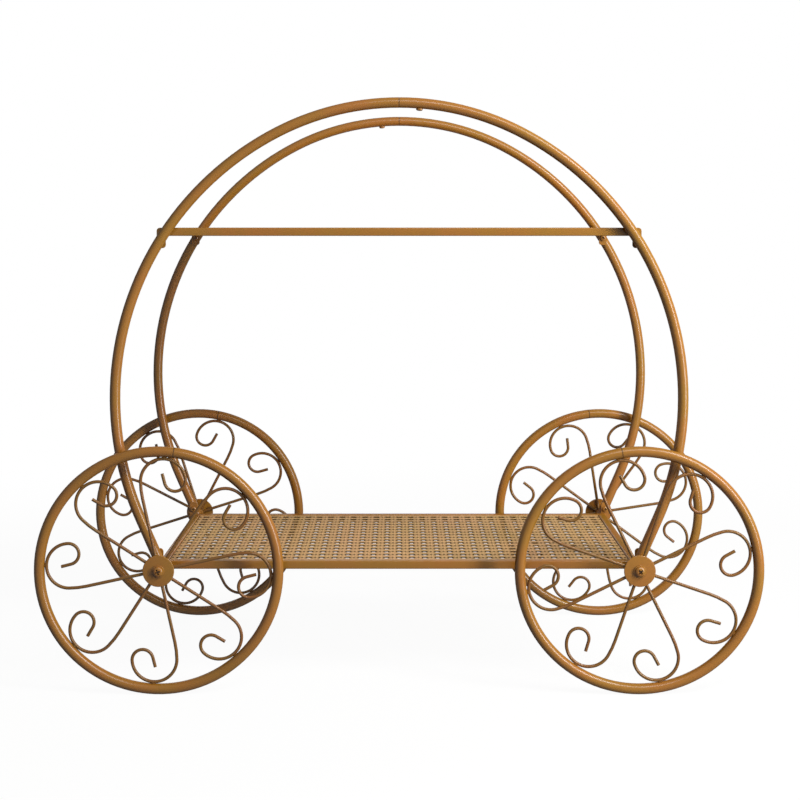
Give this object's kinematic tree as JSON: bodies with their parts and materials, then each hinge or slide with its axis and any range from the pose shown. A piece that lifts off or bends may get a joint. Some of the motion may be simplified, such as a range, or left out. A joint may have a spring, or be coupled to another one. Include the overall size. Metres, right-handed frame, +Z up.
{
  "type": "carriage-shaped display stand",
  "caption": "Painted steel display stand shaped like a carriage: tube hoops on scroll-spoked turning wheels carry a perforated deck and an upper shelf.",
  "frame": {"origin": "on the floor under the middle of the stand, level with the wheels' lowest points", "axes": "+X along the stand's length to the right seen from the front, +Y towards the back, +Z up"},
  "size_m": [0.878, 0.3608, 0.719],
  "materials": {
    "gold_tube": "satin antique gold",
    "gold_wire": "satin antique gold",
    "gold_sheet": "satin antique gold",
    "gold_screw": "satin antique gold",
    "zinc_steel": "zinc plated",
    "brown_plastic": "moulded"
  },
  "bodies": {
    "frame": {"front_hoop_left": "gold_tube", "front_hoop_right": "gold_tube", "back_hoop_left": "gold_tube", "back_hoop_right": "gold_tube", "crown_sleeves": "zinc_steel", "crown_screws": "gold_screw", "leg_plugs": "brown_plastic", "axle_bosses": "gold_tube", "axle_washers": "gold_screw", "axle_screws": "gold_screw", "deck_rail_front": "gold_tube", "deck_rail_back": "gold_tube", "deck_rail_left": "gold_tube", "deck_rail_right": "gold_tube", "deck_sheet": "gold_sheet", "deck_tabs": "gold_tube", "deck_tab_screws": "gold_screw", "deck_tab_inserts": "zinc_steel", "shelf_rail_front": "gold_tube", "shelf_rail_back": "gold_tube", "shelf_rail_left": "gold_tube", "shelf_rail_right": "gold_tube", "shelf_sheet": "gold_sheet", "shelf_tabs": "gold_tube", "shelf_tab_screws": "gold_screw", "shelf_tab_inserts": "zinc_steel"},
    "wheel_front_left": {"wheel_front_left_rim": "gold_tube", "wheel_front_left_spokes": "gold_wire", "wheel_front_left_disc": "gold_tube", "wheel_front_left_bush": "zinc_steel"},
    "wheel_front_right": {"wheel_front_right_rim": "gold_tube", "wheel_front_right_spokes": "gold_wire", "wheel_front_right_disc": "gold_tube", "wheel_front_right_bush": "zinc_steel"},
    "wheel_back_left": {"wheel_back_left_rim": "gold_tube", "wheel_back_left_spokes": "gold_wire", "wheel_back_left_disc": "gold_tube", "wheel_back_left_bush": "zinc_steel"},
    "wheel_back_right": {"wheel_back_right_rim": "gold_tube", "wheel_back_right_spokes": "gold_wire", "wheel_back_right_disc": "gold_tube", "wheel_back_right_bush": "zinc_steel"}
  },
  "joints": [
    {"name": "wheel_front_left_spin", "type": "hinge", "parent": "frame", "child": "wheel_front_left", "pos_m": [-0.289, -0.171, 0.15], "axis": [0, 1, 0], "continuous": true},
    {"name": "wheel_front_right_spin", "type": "hinge", "parent": "frame", "child": "wheel_front_right", "pos_m": [0.289, -0.171, 0.15], "axis": [0, 1, 0], "continuous": true},
    {"name": "wheel_back_left_spin", "type": "hinge", "parent": "frame", "child": "wheel_back_left", "pos_m": [-0.289, 0.171, 0.15], "axis": [0, 1, 0], "continuous": true},
    {"name": "wheel_back_right_spin", "type": "hinge", "parent": "frame", "child": "wheel_back_right", "pos_m": [0.289, 0.171, 0.15], "axis": [0, 1, 0], "continuous": true}
  ]
}
